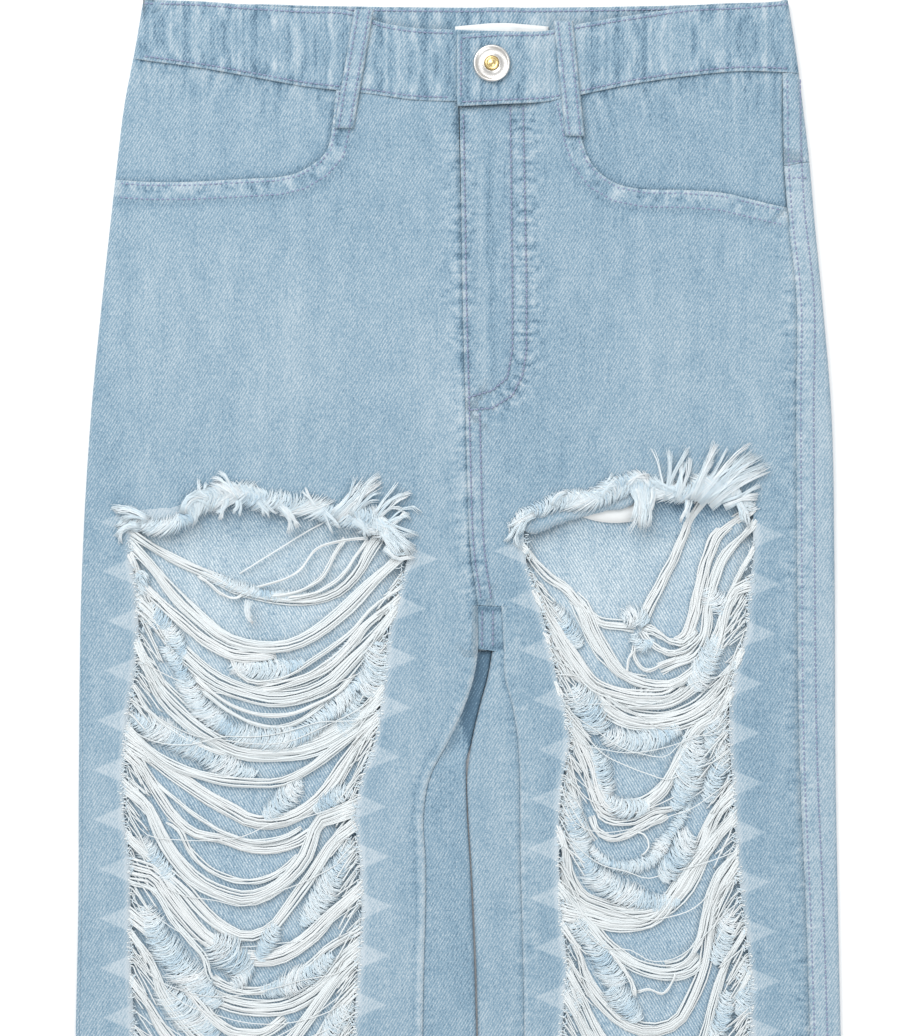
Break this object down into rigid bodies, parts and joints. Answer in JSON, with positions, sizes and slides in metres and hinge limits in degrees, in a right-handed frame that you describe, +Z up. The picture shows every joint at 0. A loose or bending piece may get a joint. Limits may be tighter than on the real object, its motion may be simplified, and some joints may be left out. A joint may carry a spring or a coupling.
{
  "type": "ripped jeans laid flat",
  "caption": "High-rise straight denim jeans laid flat on their back, with a large torn opening of hanging threads in each leg.",
  "frame": {"origin": "on the surface the jeans lie on, under the middle of their outline", "axes": "+Y from the hems to the waist, +X to the wearer's left, +Z up from the surface, towards the front of the jeans"},
  "size_m": [0.406, 1.0468, 0.0129],
  "materials": {
    "denim": "washed twill",
    "white_cotton": "plain weave",
    "loose_threads": "soft yarn",
    "torn_tufts": "frayed",
    "button_metal": "satin",
    "button_cap_metal": "polished"
  },
  "bodies": {
    "root": {"front_leg_R": "denim", "front_leg_L": "denim", "back_leg_R": "denim", "back_leg_L": "denim", "yoke_R": "denim", "yoke_L": "denim", "back_pocket_R": "denim", "back_pocket_L": "denim", "pocket_facing_R": "denim", "pocket_facing_L": "denim", "pocket_bag_L": "white_cotton", "waistband": "denim", "waist_label": "white_cotton", "belt_loop_front_R": "denim", "belt_loop_front_L": "denim", "belt_loop_back_R": "denim", "belt_loop_back_L": "denim", "belt_loop_back_C": "denim", "rip_threads_R": "loose_threads", "rip_threads_L": "loose_threads", "rip_fringe_R": "torn_tufts", "rip_fringe_L": "torn_tufts", "button": "button_metal", "button_cap": "button_cap_metal"}
  },
  "joints": []
}
